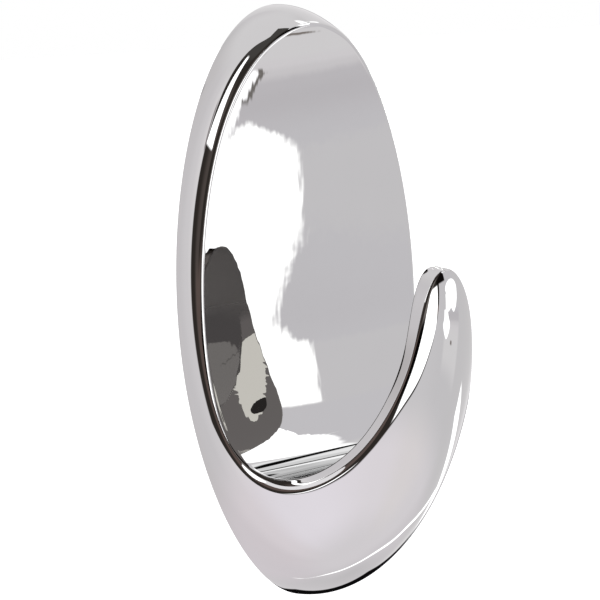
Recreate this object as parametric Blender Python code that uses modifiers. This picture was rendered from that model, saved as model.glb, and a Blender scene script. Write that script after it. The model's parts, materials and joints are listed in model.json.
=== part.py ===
"""Adhesive wall hook: a bright half-egg moulding that slides on a small base stuck to the wall.

Metres, +Z up, +X to the right, the wall is the plane Y = 0 and the hook stands out towards -Y.
The origin is the middle of the adhesive pad on the wall. The constants below are millimetres.
"Forward" is the distance out from the moulding's rear plane, which stands STANDOFF off the wall.
"""

import math

import bmesh
import bpy
import numpy as np

MM = 0.001

# Wall outline of the moulding: an upright oval, slightly fuller above its middle.
HALF_HEIGHT = 40.0
OVAL_WIDTH = 20.0  # mean half-width
OVAL_TOP_FULL = 0.95  # first, second and third harmonics of the half-width
OVAL_SQUARE = -0.55
OVAL_SHOULDER = 0.15
STANDOFF = 1.0

# The half-egg that the scoop is taken out of.
EGG_DEPTH = 29.85  # from the rear plane to the foremost point
EGG_NOSE_RISE = 0.6  # height of the foremost point
EGG_WIDTH_EASE = (-0.46, 0.29)  # how much slimmer than a round egg, by depth
EGG_HEIGHT_EASE = (-0.44, 0.15)
EGG_SAG = (-13.7, -6.5)  # how far its sections drop below the middle on the way out

# Side view of the scoop's outer edge at nine even stations from the plate's top, down the
# plate, through the trough and up to the tongue's tip: (forward, height). The first and the
# last height follow from the egg.
EDGE_STATIONS = (
    (5.8, None),
    (5.4, 35.0),
    (3.5, 23.6),
    (3.1, 0.4),
    (5.0, -17.4),
    (11.7, -23.0),
    (21.3, -17.9),
    (28.0, -5.0),
    (29.3, None),
)

# The plate's face is slightly convex from side to side, and flat again in the trough.
CROWN_RADIUS = 270.0
CROWN_FADE = (1.35, 1.85)  # stations between which it fades out

# Rim between the scoop's face and the egg, at nine even stations along the edge: a soft roll
# down the plate's side, and a flat land with two small rounded corners from the trough on.
RIM_ACROSS = (1.10, 0.95, 1.00, 1.03, 1.05, 0.80, 0.30, 0.20, -0.40)  # width along the face
RIM_DEEP = (1.00, 0.93, 1.40, 1.03, 0.70, 1.80, 1.86, 2.06, 2.57)  # depth through the wall
RIM_FACE_TURN = (0.40, 0.50, 0.60, 0.60, 0.50, 0.25, 0.20, 0.18, 0.18)  # corner at the face
RIM_EGG_TURN = (0.50, 0.55, 0.60, 0.50, 0.60, 0.70, 0.40, 0.28, 0.30)  # corner at the egg

# Hollow back.
SKIRT_WALL = 1.7
PLATE_WALL = 1.2
SHELF_HEIGHT = -24.2  # top of the belly's hollow

# Mounting strip: foam with an adhesive layer on each face, and a pull tab below.
STRIP_HALF_WIDTH = 8.0
STRIP_HALF_HEIGHT = 20.0
TAB_BOTTOM = -36.0
TAB_CORNER = 6.0
STRIP_CORNER = 1.0
ADHESIVE = 0.1
FOAM = 0.7
FILM = 0.06
FILM_TOP = -20.4

# Base on the wall, and the wings that the hook's rails run behind.
BASE_HALF_WIDTH = 8.5
BASE_HALF_HEIGHT = 21.0
BASE_BACK = 0.9
BASE_FRONT = 3.4
BASE_CORNER = 4.0
WING_HALF_WIDTH = 11.0
WING_BOTTOM, WING_TOP = -5.0, 7.0
WING_BACK = 2.2
BASE_WELL = 0.9  # depth of the two moulding wells in its front

# Rails and stop rib inside the hook.
RAIL_LIP_IN = 9.0
RAIL_IN, RAIL_OUT = 11.3, 12.7
RAIL_BOTTOM, RAIL_TOP = -6.0, 8.0
RAIL_BACK = 1.2  # measured from the wall, as are the next three
LIP_FRONT = 2.0
RAIL_FRONT = 4.45
RIB_FRONT = 5.05
STOP_BOTTOM = 21.15
STOP_THICK = 1.4
STOP_HALF_WIDTH = 11.0
TRAVEL = 13.0  # the wings are clear of the rails after this much

# Mesh fineness.
ROWS = 60  # stations from the plate's top to the tongue's tip
FACE_COLUMNS = 6
CORNER_STEPS = 3  # in each rounded corner of the rim
LAND_STEPS = 1
EGG_COLUMNS = 15
HOLLOW_COLUMNS = 48


def clamped_spline(values, at):
    """Cubic spline through even stations over 0..pi, level at both ends."""
    values = np.asarray(values, float)
    count = len(values)
    step = math.pi / (count - 1)
    system = np.zeros((count, count))
    right = np.zeros(count)
    system[0, 0] = system[-1, -1] = 1.0
    for i in range(1, count - 1):
        system[i, i - 1 : i + 2] = (1.0, 4.0, 1.0)
        right[i] = 3.0 * (values[i + 1] - values[i - 1]) / step
    slopes = np.linalg.solve(system, right)
    at = np.asarray(at, float)
    i = np.clip((at / step).astype(int), 0, count - 2)
    t = at / step - i
    return (
        values[i] * (1 + 2 * t) * (1 - t) ** 2
        + slopes[i] * step * t * (1 - t) ** 2
        + values[i + 1] * t * t * (3 - 2 * t)
        + slopes[i + 1] * step * t * t * (t - 1)
    )


def oval_half_width(turn):
    """Half-width factor of the outline, turn measured down from its top."""
    return (
        OVAL_WIDTH
        + OVAL_TOP_FULL * np.cos(turn)
        + OVAL_SQUARE * np.cos(2 * turn)
        + OVAL_SHOULDER * np.cos(3 * turn)
    )


def egg_section(forward):
    """(width factor, middle height, half-height) of the egg's section at this depth."""
    part = np.clip(np.asarray(forward, float) / EGG_DEPTH, 0.0, 1.0) ** 2
    shrink = np.sqrt(1.0 - part)
    wide = shrink * (1 + EGG_WIDTH_EASE[0] * part + EGG_WIDTH_EASE[1] * part**2)
    tall = HALF_HEIGHT * shrink * (1 + EGG_HEIGHT_EASE[0] * part + EGG_HEIGHT_EASE[1] * part**2)
    middle = EGG_NOSE_RISE * part + (EGG_SAG[0] * part + EGG_SAG[1] * part**2) * (1 - part)
    return wide, middle, tall


def egg_point(across, up):
    """Point of the egg. (across, up) is its place on a round chart: the foremost point is the
    middle, and the wall outline is the circle of radius pi / 2."""
    reach = np.hypot(across, up)
    turn = np.arctan2(across, up)
    forward = EGG_DEPTH * np.cos(np.minimum(reach, math.pi / 2))
    wide, middle, tall = egg_section(forward)
    x = wide * oval_half_width(turn) * np.sin(turn)
    z = middle + tall * np.cos(turn)
    return np.stack([x, forward, z], -1)


def egg_normal(across, up):
    step = 1e-4
    one = egg_point(across + step, up) - egg_point(across - step, up)
    two = egg_point(across, up + step) - egg_point(across, up - step)
    normal = np.cross(one, two)
    normal /= np.linalg.norm(normal, axis=-1, keepdims=True)
    flip = np.sign((normal * [1.0, 1.0, 1.0] * (egg_point(across, up) - [0, -4, -3])).sum(-1))
    return normal * flip[..., None]


def scoop_edge(stations):
    """Left half of the outer rim edge: its points, and their places on the egg's chart."""
    forward = [row[0] for row in EDGE_STATIONS]
    height = [row[1] for row in EDGE_STATIONS]
    for end in (0, -1):
        _, middle, tall = egg_section(forward[end])
        height[end] = float(middle + tall)
    forward = clamped_spline(forward, stations)
    height = clamped_spline(height, stations)
    _, middle, tall = egg_section(forward)
    turn = np.arccos(np.clip((height - middle) / tall, -1.0, 1.0))
    reach = np.arccos(np.clip(forward / EGG_DEPTH, 0.0, 1.0))
    across, up = -reach * np.sin(turn), reach * np.cos(turn)
    return egg_point(across, up), across, up


def unit(vectors):
    return vectors / np.maximum(np.linalg.norm(vectors, axis=-1, keepdims=True), 1e-12)


def rim_frame(points):
    """(along, into the wall, outward) unit vectors at each station of the edge."""
    along = np.gradient(points, axis=0)
    along[0] = along[-1] = (1.0, 0.0, 0.0)
    along[0] *= -1
    along = unit(along)
    side = np.gradient(points[:, 1:], axis=0)
    side[0], side[-1] = side[1], side[-2]
    side = unit(side)
    into = np.stack([np.zeros(len(points)), side[:, 1], -side[:, 0]], 1)
    outward = unit(np.cross(along, into))
    if outward[len(points) // 4, 0] > 0:
        outward = -outward
    return along, into, outward


def rim_lines(inner, outer, outward, away, stations):
    """Lines over the rim: it leaves the face along the face, turns a rounded corner onto its
    land, and turns a second one so as to meet the egg along the egg."""
    first = clamped_spline(RIM_FACE_TURN, stations)[:, None]
    second = clamped_spline(RIM_EGG_TURN, stations)[:, None]
    one, two = inner + outward * first, outer - away * second
    length = np.linalg.norm(two - one, axis=1, keepdims=True)
    fit = np.minimum(1.0, 0.98 * length / (first + second))
    land = unit(two - one)
    start, end = one + land * first * fit, two - land * second * fit
    lines = []
    for c in range(CORNER_STEPS + 1):
        t = c / CORNER_STEPS
        lines.append(inner * (1 - t) ** 2 + one * 2 * t * (1 - t) + start * t * t)
    for c in range(1, LAND_STEPS):
        lines.append(start + (end - start) * c / LAND_STEPS)
    for c in range(CORNER_STEPS + 1):
        t = c / CORNER_STEPS
        lines.append(end * (1 - t) ** 2 + two * 2 * t * (1 - t) + outer * t * t)
    return lines


def half_skin(rows, face_columns, egg_columns):
    """Left half of the solid half-egg with its scoop and rim, flat behind and open at X = 0."""
    stations = np.linspace(0.0, math.pi, rows + 1)
    outer, across, up = scoop_edge(stations)
    along, into, outward = rim_frame(outer)
    wide = clamped_spline(RIM_ACROSS, stations)[:, None]
    deep = clamped_spline(RIM_DEEP, stations)[:, None]
    inner = outer - wide * outward - deep * into
    inner[0, 0] = inner[-1, 0] = 0.0
    away = unit(np.cross(along, egg_normal(across, up)))
    away *= np.sign((away * into).sum(1) + 0.3 * (away * outward).sum(1))[:, None]

    half = np.abs(inner[:, 0])
    fade = np.clip((stations - CROWN_FADE[0]) / (CROWN_FADE[1] - CROWN_FADE[0]), 0.0, 1.0)
    crown = (1 - fade * fade * (3 - 2 * fade)) / (2 * CROWN_RADIUS)

    lines = []
    for c in range(face_columns):  # across the face, from the middle to the rim
        t = c / face_columns
        rise = crown * half**2 * (1 - t * t)
        lines.append(inner * [t, 1.0, 1.0] - into * rise[:, None])
    lines += rim_lines(inner, outer, outward, away, stations)
    foot = stations + 0.45 * np.sin(stations) ** 2
    for c in range(1, egg_columns + 1):  # round the egg to the wall outline
        t = c / egg_columns
        line = egg_point(
            across * (1 - t) - t * math.pi / 2 * np.sin(foot),
            up * (1 - t) + t * math.pi / 2 * np.cos(foot),
        )
        lines.append(line)
    lines[-1][:, 1] = 0.0
    for line in lines:
        line[0, 0] = line[-1, 0] = 0.0

    count = rows + 1
    faces = []
    for c in range(len(lines) - 1):
        for r in range(rows):
            k = c * count + r
            faces.append((k, k + 1, k + count + 1, k + count))
    last = (len(lines) - 1) * count
    faces.append(tuple(range(last, last + count)))
    return np.concatenate(lines), faces, inner


def from_wall(points):
    """Millimetres (across, forward of the rear plane, up) to scene metres."""
    return [(x * MM, -(d + STANDOFF) * MM, z * MM) for x, d, z in np.asarray(points, float)]


def new_object(name, work, collection):
    """Object from a bmesh whose faces are turned outwards. A half that is open at X = 0 counts
    as closed here, because that plane runs through the origin and adds no volume."""
    bmesh.ops.recalc_face_normals(work, faces=work.faces)
    if work.calc_volume(signed=True) < 0:
        bmesh.ops.reverse_faces(work, faces=work.faces)
    mesh = bpy.data.meshes.new(name)
    work.to_mesh(mesh)
    work.free()
    obj = bpy.data.objects.new(name, mesh)
    collection.objects.link(obj)
    return obj


def loft(name, points, faces, collection):
    """Object from lofted points and faces; points that coincide at a loft's ends become one."""
    mesh = bpy.data.meshes.new(name)
    mesh.from_pydata(points, [], faces)
    work = bmesh.new()
    work.from_mesh(mesh)
    bpy.data.meshes.remove(mesh)
    bmesh.ops.remove_doubles(work, verts=work.verts, dist=2e-6)
    return new_object(name, work, collection)


def block(name, x, y, z, collection, low_corner=0.0, high_corner=0.0, steps=6):
    """Block between two corners, in mm, y being distances out from the wall. Its lower and upper
    corners, seen from the front, may be rounded."""
    work = bmesh.new()
    bmesh.ops.create_cube(work, size=1.0)
    low = np.array([x[0], -y[1], z[0]]) * MM
    high = np.array([x[1], -y[0], z[1]]) * MM
    for vertex in work.verts:
        vertex.co = low + (np.array(vertex.co) + 0.5) * (high - low)
    for radius, lower in ((low_corner, True), (high_corner, False)):
        if radius:
            middle = (low[2] + high[2]) / 2
            edges = [
                edge
                for edge in work.edges
                if abs(edge.verts[0].co.y - edge.verts[1].co.y) > 0.9 * (high[1] - low[1])
                and (edge.verts[0].co.z < middle) == lower
            ]
            bmesh.ops.bevel(
                work, geom=edges, offset=radius * MM, segments=steps, profile=0.5, affect="EDGES"
            )
    return new_object(name, work, collection)


def extruded(name, profile, half_width, collection):
    """Solid with a side view of (forward, height) points, straight across."""
    work = bmesh.new()
    points = from_wall([(-half_width, d, z) for d, z in profile])
    face = work.faces.new([work.verts.new(p) for p in points])
    made = bmesh.ops.extrude_face_region(work, geom=[face])
    moved = [item for item in made["geom"] if isinstance(item, bmesh.types.BMVert)]
    bmesh.ops.translate(work, verts=moved, vec=(2 * half_width * MM, 0.0, 0.0))
    return new_object(name, work, collection)


def boolean(obj, tool, operation):
    step = obj.modifiers.new(f"{operation.title()} {tool.name}", "BOOLEAN")
    step.operation = operation
    step.object = tool
    step.solver = "EXACT"


def chamfer(obj, width, segments=2):
    step = obj.modifiers.new("Edges", "BEVEL")
    step.width = width * MM
    step.segments = segments
    step.limit_method = "ANGLE"
    step.angle_limit = math.radians(40)
    step.harden_normals = False


def material(name, colour, metallic, roughness):
    made = bpy.data.materials.new(name)
    made.use_nodes = True
    shader = made.node_tree.nodes["Principled BSDF"]
    shader.inputs["Base Color"].default_value = (*colour, 1.0)
    shader.inputs["Metallic"].default_value = metallic
    shader.inputs["Roughness"].default_value = roughness
    made.diffuse_color = (*colour, 1.0)
    return made


def hollow(inner_edge, helpers):
    """Cutter for the back: the egg drawn in by the wall's thickness, and kept behind the plate
    and under the trough."""
    rings = []
    points, faces = [], []
    turns = np.linspace(0, 2 * math.pi, HOLLOW_COLUMNS, endpoint=False)
    for reach in np.linspace(0.16, 1.0, 10):
        across = reach * math.pi / 2 * np.sin(turns)
        up = reach * math.pi / 2 * np.cos(turns)
        ring = egg_point(across, up) - SKIRT_WALL * egg_normal(across, up)
        if reach == 1.0:
            ring[:, 1] = 0.0
        rings.append(list(range(len(points), len(points) + HOLLOW_COLUMNS)))
        points.extend(ring)
    behind = np.array(points[-HOLLOW_COLUMNS:]) * [1, 0, 1] + [0, -2.0, 0]
    rings.append(list(range(len(points), len(points) + HOLLOW_COLUMNS)))
    points.extend(behind)
    nose = len(points)
    points.append(egg_point(np.array(0.0), np.array(1e-6)) - [0, SKIRT_WALL, 0])
    for first, second in zip(rings, rings[1:]):
        for k in range(HOLLOW_COLUMNS):
            n = (k + 1) % HOLLOW_COLUMNS
            faces.append((first[k], first[n], second[n], second[k]))
    faces.extend(
        (nose, rings[0][(k + 1) % HOLLOW_COLUMNS], rings[0][k]) for k in range(HOLLOW_COLUMNS)
    )
    faces.append(tuple(rings[-1]))
    cutter = loft("hollow", from_wall(points), faces, helpers)

    # Side view of where the hollow may be: behind the plate, then under the trough.
    side = inner_edge[:, 1:]
    slope = unit(np.gradient(side, axis=0))
    back = side + PLATE_WALL * np.stack([slope[:, 1], -slope[:, 0]], 1)
    keep = [tuple(p) for p in back[2:-1] if p[0] < 6.6 and p[1] > -21.2]
    profile = [(-3.0, 45.0), (keep[0][0], 45.0), *keep[::2]]
    profile += [(8.6, SHELF_HEIGHT), (45.0, SHELF_HEIGHT), (45.0, -45.0), (-3.0, -45.0)]
    limit = extruded("hollow_limit", profile, 30.0, helpers)
    boolean(cutter, limit, "INTERSECT")
    return cutter


def main():
    for obj in list(bpy.data.objects):
        bpy.data.objects.remove(obj, do_unlink=True)
    scene = bpy.context.scene
    scene.unit_settings.scale_length = 1.0
    parts = bpy.data.collections.new("Adhesive hook")
    helpers = bpy.data.collections.new("Cutters")
    scene.collection.children.link(parts)
    scene.collection.children.link(helpers)

    chrome = material("Bright plating", (0.80, 0.80, 0.82), 1.0, 0.05)
    white_plastic = material("White base plastic", (0.83, 0.83, 0.81), 0.0, 0.45)
    foam = material("White foam", (0.90, 0.90, 0.88), 0.0, 0.9)
    glue_wall = material("Wall-side adhesive", (0.86, 0.85, 0.80), 0.0, 0.3)
    glue_base = material("Base-side adhesive", (0.87, 0.86, 0.82), 0.0, 0.3)
    film_wall = material("Wall-side tab film", (0.88, 0.90, 0.92), 0.0, 0.2)
    film_front = material("Front tab film", (0.89, 0.91, 0.93), 0.0, 0.2)

    # Hook: the lofted half and its mirror image, the hollow, then the rails and the stop rib.
    points, faces, inner = half_skin(ROWS, FACE_COLUMNS, EGG_COLUMNS)
    hook = loft("hook_body", from_wall(points), faces, parts)
    mirror = hook.modifiers.new("Right half", "MIRROR")
    mirror.use_mirror_merge = True
    mirror.merge_threshold = 0.00001
    boolean(hook, hollow(inner, helpers), "DIFFERENCE")
    for side, name in ((-1, "left"), (1, "right")):
        web = block(
            f"rail_web_{name}",
            sorted((side * RAIL_IN, side * RAIL_OUT)),
            (RAIL_BACK, RAIL_FRONT),
            (RAIL_BOTTOM, RAIL_TOP),
            helpers,
        )
        lip = block(
            f"rail_lip_{name}",
            sorted((side * RAIL_LIP_IN, side * (RAIL_IN + 0.7))),
            (RAIL_BACK, LIP_FRONT),
            (RAIL_BOTTOM, RAIL_TOP),
            helpers,
        )
        boolean(web, lip, "UNION")
        boolean(hook, web, "UNION")
    rib = block(
        "stop_rib",
        (-STOP_HALF_WIDTH, STOP_HALF_WIDTH),
        (RAIL_BACK, RIB_FRONT),
        (STOP_BOTTOM, STOP_BOTTOM + STOP_THICK),
        helpers,
    )
    boolean(hook, rib, "UNION")

    # Base: a rounded plate with two wings, and two shallow wells in its front.
    base = block(
        "mounting_base",
        (-BASE_HALF_WIDTH, BASE_HALF_WIDTH),
        (BASE_BACK, BASE_FRONT),
        (-BASE_HALF_HEIGHT, BASE_HALF_HEIGHT),
        parts,
        BASE_CORNER,
        BASE_CORNER,
    )
    wings = block(
        "wings",
        (-WING_HALF_WIDTH, WING_HALF_WIDTH),
        (WING_BACK, BASE_FRONT),
        (WING_BOTTOM, WING_TOP),
        helpers,
    )
    boolean(base, wings, "UNION")
    for name, low, high in (("low", -18.0, -7.5), ("high", 9.5, 18.0)):
        well = block(
            f"well_{name}",
            (-5.5, 5.5),
            (BASE_FRONT - BASE_WELL, BASE_FRONT + 1.0),
            (low, high),
            helpers,
            1.5,
            1.5,
            4,
        )
        boolean(base, well, "DIFFERENCE")
    chamfer(base, 0.25)

    # Strip, from the wall outwards.
    pad_x, pad_z = (-STRIP_HALF_WIDTH, STRIP_HALF_WIDTH), (-STRIP_HALF_HEIGHT, STRIP_HALF_HEIGHT)
    foam_front = ADHESIVE + FOAM
    for name, low, high in (
        ("strip_adhesive_wall", 0.0, ADHESIVE),
        ("strip_adhesive_base", foam_front, BASE_BACK),
    ):
        block(name, pad_x, (low, high), pad_z, parts, STRIP_CORNER, STRIP_CORNER)
    block(
        "strip_foam",
        pad_x,
        (ADHESIVE, foam_front),
        (TAB_BOTTOM, STRIP_HALF_HEIGHT),
        parts,
        TAB_CORNER,
        STRIP_CORNER,
        8,
    )
    inset = 0.3
    for name, low in (("tab_film_wall", ADHESIVE - FILM), ("tab_film_front", foam_front)):
        block(
            name,
            (-STRIP_HALF_WIDTH + inset, STRIP_HALF_WIDTH - inset),
            (low, low + FILM),
            (TAB_BOTTOM + inset, FILM_TOP),
            parts,
            TAB_CORNER - inset,
            0.4,
            8,
        )

    coats = {
        "hook_body": chrome,
        "mounting_base": white_plastic,
        "strip_foam": foam,
        "strip_adhesive_wall": glue_wall,
        "strip_adhesive_base": glue_base,
        "tab_film_wall": film_wall,
        "tab_film_front": film_front,
    }
    for name, coat in coats.items():
        parts.objects[name].data.materials.append(coat)
    for obj in helpers.objects:
        obj.hide_render = True
        obj.display_type = "WIRE"
    helpers.hide_render = True

    for obj in list(parts.objects) + list(helpers.objects):
        obj.data.shade_smooth()
        obj.data.set_sharp_from_angle(angle=math.radians(32))

    # The hook slides straight up along this arrow, whose length is the travel, and hangs from it.
    slide = bpy.data.objects.new("hook_slide", None)
    slide.empty_display_type = "SINGLE_ARROW"
    slide.empty_display_size = TRAVEL * MM
    slide.location = (0.0, -BASE_FRONT * MM, BASE_HALF_HEIGHT * MM)
    parts.objects.link(slide)
    for vertex in hook.data.vertices:
        vertex.co -= slide.location
    hook.parent = slide


main()
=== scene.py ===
"""Looks for the adhesive wall hook: a mirror-bright half-egg moulding on its white base and strip.

Metres, +Z up, the wall is the plane Y = 0 and the hook stands out towards -Y. The design
constants below are millimetres and are the same as the model's own.
"""

import json
import math

import bmesh
import bpy
import numpy as np
from mathutils import Matrix, Vector

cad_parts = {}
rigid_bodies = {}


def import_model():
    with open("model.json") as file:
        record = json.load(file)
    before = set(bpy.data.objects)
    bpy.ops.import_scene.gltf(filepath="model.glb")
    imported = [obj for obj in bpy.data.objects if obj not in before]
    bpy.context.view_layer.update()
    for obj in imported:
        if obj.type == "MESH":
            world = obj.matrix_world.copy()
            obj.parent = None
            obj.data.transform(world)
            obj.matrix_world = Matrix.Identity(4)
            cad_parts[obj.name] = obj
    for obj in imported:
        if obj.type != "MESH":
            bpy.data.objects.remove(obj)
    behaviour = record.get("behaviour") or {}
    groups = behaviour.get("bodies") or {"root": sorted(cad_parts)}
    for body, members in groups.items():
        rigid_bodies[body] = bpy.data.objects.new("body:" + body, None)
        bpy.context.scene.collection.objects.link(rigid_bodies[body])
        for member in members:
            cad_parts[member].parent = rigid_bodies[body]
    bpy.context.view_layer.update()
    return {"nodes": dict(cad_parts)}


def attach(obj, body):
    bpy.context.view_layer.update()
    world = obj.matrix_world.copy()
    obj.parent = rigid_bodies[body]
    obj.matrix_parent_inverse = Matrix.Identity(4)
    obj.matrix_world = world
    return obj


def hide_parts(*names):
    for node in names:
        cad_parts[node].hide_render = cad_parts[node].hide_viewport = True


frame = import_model()

MM = 0.001

# --- The moulding's design ------------------------------------------------------------------

HALF_HEIGHT = 40.0
OVAL_WIDTH = 20.0
OVAL_TOP_FULL = 0.95
OVAL_SQUARE = -0.55
OVAL_SHOULDER = 0.15
STANDOFF = 1.0

EGG_DEPTH = 29.85
EGG_NOSE_RISE = 0.6
EGG_WIDTH_EASE = (-0.46, 0.29)
EGG_HEIGHT_EASE = (-0.44, 0.15)
EGG_SAG = (-13.7, -6.5)

EDGE_STATIONS = (
    (5.8, None),
    (5.4, 35.0),
    (3.5, 23.6),
    (3.1, 0.4),
    (5.0, -17.4),
    (11.7, -23.0),
    (21.3, -17.9),
    (28.0, -5.0),
    (29.3, None),
)

CROWN_RADIUS = 270.0
CROWN_FADE = (1.35, 1.85)

RIM_ACROSS = (1.10, 0.95, 1.00, 1.03, 1.05, 0.80, 0.30, 0.20, -0.40)
RIM_DEEP = (1.00, 0.93, 1.40, 1.03, 0.70, 1.80, 1.86, 2.06, 2.57)
RIM_FACE_TURN = (0.40, 0.50, 0.60, 0.60, 0.50, 0.25, 0.20, 0.18, 0.18)
RIM_EGG_TURN = (0.50, 0.55, 0.60, 0.50, 0.60, 0.70, 0.40, 0.28, 0.30)

SKIRT_WALL = 1.7
PLATE_WALL = 1.2
SHELF_HEIGHT = -24.2
REAR_ROUND = 0.35  # rounding of the skirt's rear edge

RAIL_LIP_IN = 9.0
RAIL_IN, RAIL_OUT = 11.3, 12.7
RAIL_BOTTOM, RAIL_TOP = -6.0, 8.0
RAIL_BACK = 1.2
LIP_FRONT = 2.0
RAIL_FRONT = 4.45
RIB_FRONT = 5.05
STOP_BOTTOM = 21.15
STOP_THICK = 1.4
STOP_HALF_WIDTH = 11.0

# Mesh fineness of the visible moulding.
ROWS = 320
FACE_COLUMNS = 30
CORNER_STEPS = 9
LAND_STEPS = 4
EGG_COLUMNS = 60
REAR_COLUMNS = 5
HOLLOW_COLUMNS = 192


def clamped_spline(values, at):
    """Cubic spline through even stations over 0..pi, level at both ends."""
    values = np.asarray(values, float)
    count = len(values)
    step = math.pi / (count - 1)
    system = np.zeros((count, count))
    right = np.zeros(count)
    system[0, 0] = system[-1, -1] = 1.0
    for i in range(1, count - 1):
        system[i, i - 1 : i + 2] = (1.0, 4.0, 1.0)
        right[i] = 3.0 * (values[i + 1] - values[i - 1]) / step
    slopes = np.linalg.solve(system, right)
    at = np.asarray(at, float)
    i = np.clip((at / step).astype(int), 0, count - 2)
    t = at / step - i
    return (
        values[i] * (1 + 2 * t) * (1 - t) ** 2
        + slopes[i] * step * t * (1 - t) ** 2
        + values[i + 1] * t * t * (3 - 2 * t)
        + slopes[i + 1] * step * t * t * (t - 1)
    )


def oval_half_width(turn):
    """Half-width factor of the outline, turn measured down from its top."""
    return (
        OVAL_WIDTH
        + OVAL_TOP_FULL * np.cos(turn)
        + OVAL_SQUARE * np.cos(2 * turn)
        + OVAL_SHOULDER * np.cos(3 * turn)
    )


def egg_section(forward):
    """(width factor, middle height, half-height) of the egg's section at this depth."""
    part = np.clip(np.asarray(forward, float) / EGG_DEPTH, 0.0, 1.0) ** 2
    shrink = np.sqrt(1.0 - part)
    wide = shrink * (1 + EGG_WIDTH_EASE[0] * part + EGG_WIDTH_EASE[1] * part**2)
    tall = HALF_HEIGHT * shrink * (1 + EGG_HEIGHT_EASE[0] * part + EGG_HEIGHT_EASE[1] * part**2)
    middle = EGG_NOSE_RISE * part + (EGG_SAG[0] * part + EGG_SAG[1] * part**2) * (1 - part)
    return wide, middle, tall


def egg_point(across, up):
    """Point of the egg. (across, up) is its place on a round chart: the foremost point is the
    middle, and the wall outline is the circle of radius pi / 2."""
    reach = np.hypot(across, up)
    turn = np.arctan2(across, up)
    forward = EGG_DEPTH * np.cos(np.minimum(reach, math.pi / 2))
    wide, middle, tall = egg_section(forward)
    x = wide * oval_half_width(turn) * np.sin(turn)
    z = middle + tall * np.cos(turn)
    return np.stack([x, forward, z], -1)


def egg_normal(across, up):
    step = 1e-4
    one = egg_point(across + step, up) - egg_point(across - step, up)
    two = egg_point(across, up + step) - egg_point(across, up - step)
    normal = np.cross(one, two)
    normal /= np.linalg.norm(normal, axis=-1, keepdims=True)
    flip = np.sign((normal * (egg_point(across, up) - [0, -4, -3])).sum(-1))
    return normal * flip[..., None]


def scoop_edge(stations):
    """Left half of the outer rim edge: its points, and their places on the egg's chart."""
    forward = [row[0] for row in EDGE_STATIONS]
    height = [row[1] for row in EDGE_STATIONS]
    for end in (0, -1):
        _, middle, tall = egg_section(forward[end])
        height[end] = float(middle + tall)
    forward = clamped_spline(forward, stations)
    height = clamped_spline(height, stations)
    _, middle, tall = egg_section(forward)
    turn = np.arccos(np.clip((height - middle) / tall, -1.0, 1.0))
    reach = np.arccos(np.clip(forward / EGG_DEPTH, 0.0, 1.0))
    across, up = -reach * np.sin(turn), reach * np.cos(turn)
    return egg_point(across, up), across, up


def unit(vectors):
    return vectors / np.maximum(np.linalg.norm(vectors, axis=-1, keepdims=True), 1e-12)


def smooth(value, low, high):
    t = np.clip((np.asarray(value, float) - low) / (high - low), 0.0, 1.0)
    return t * t * (3 - 2 * t)


def rim_frame(points):
    """(along, into the wall, outward) unit vectors at each station of the edge."""
    along = np.gradient(points, axis=0)
    along[0] = along[-1] = (1.0, 0.0, 0.0)
    along[0] *= -1
    along = unit(along)
    side = np.gradient(points[:, 1:], axis=0)
    side[0], side[-1] = side[1], side[-2]
    side = unit(side)
    into = np.stack([np.zeros(len(points)), side[:, 1], -side[:, 0]], 1)
    outward = unit(np.cross(along, into))
    if outward[len(points) // 4, 0] > 0:
        outward = -outward
    return along, into, outward


def rim_lines(inner, outer, outward, away, stations):
    """Lines over the rim: it leaves the face along the face, turns a rounded corner onto its
    land, and turns a second one so as to meet the egg along the egg."""
    first = clamped_spline(RIM_FACE_TURN, stations)[:, None]
    second = clamped_spline(RIM_EGG_TURN, stations)[:, None]
    one, two = inner + outward * first, outer - away * second
    length = np.linalg.norm(two - one, axis=1, keepdims=True)
    fit = np.minimum(1.0, 0.98 * length / (first + second))
    land = unit(two - one)
    start, end = one + land * first * fit, two - land * second * fit
    lines = []
    for c in range(CORNER_STEPS + 1):
        t = c / CORNER_STEPS
        lines.append(inner * (1 - t) ** 2 + one * 2 * t * (1 - t) + start * t * t)
    for c in range(1, LAND_STEPS):
        lines.append(start + (end - start) * c / LAND_STEPS)
    for c in range(CORNER_STEPS + 1):
        t = c / CORNER_STEPS
        lines.append(end * (1 - t) ** 2 + two * 2 * t * (1 - t) + outer * t * t)
    return lines


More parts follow.
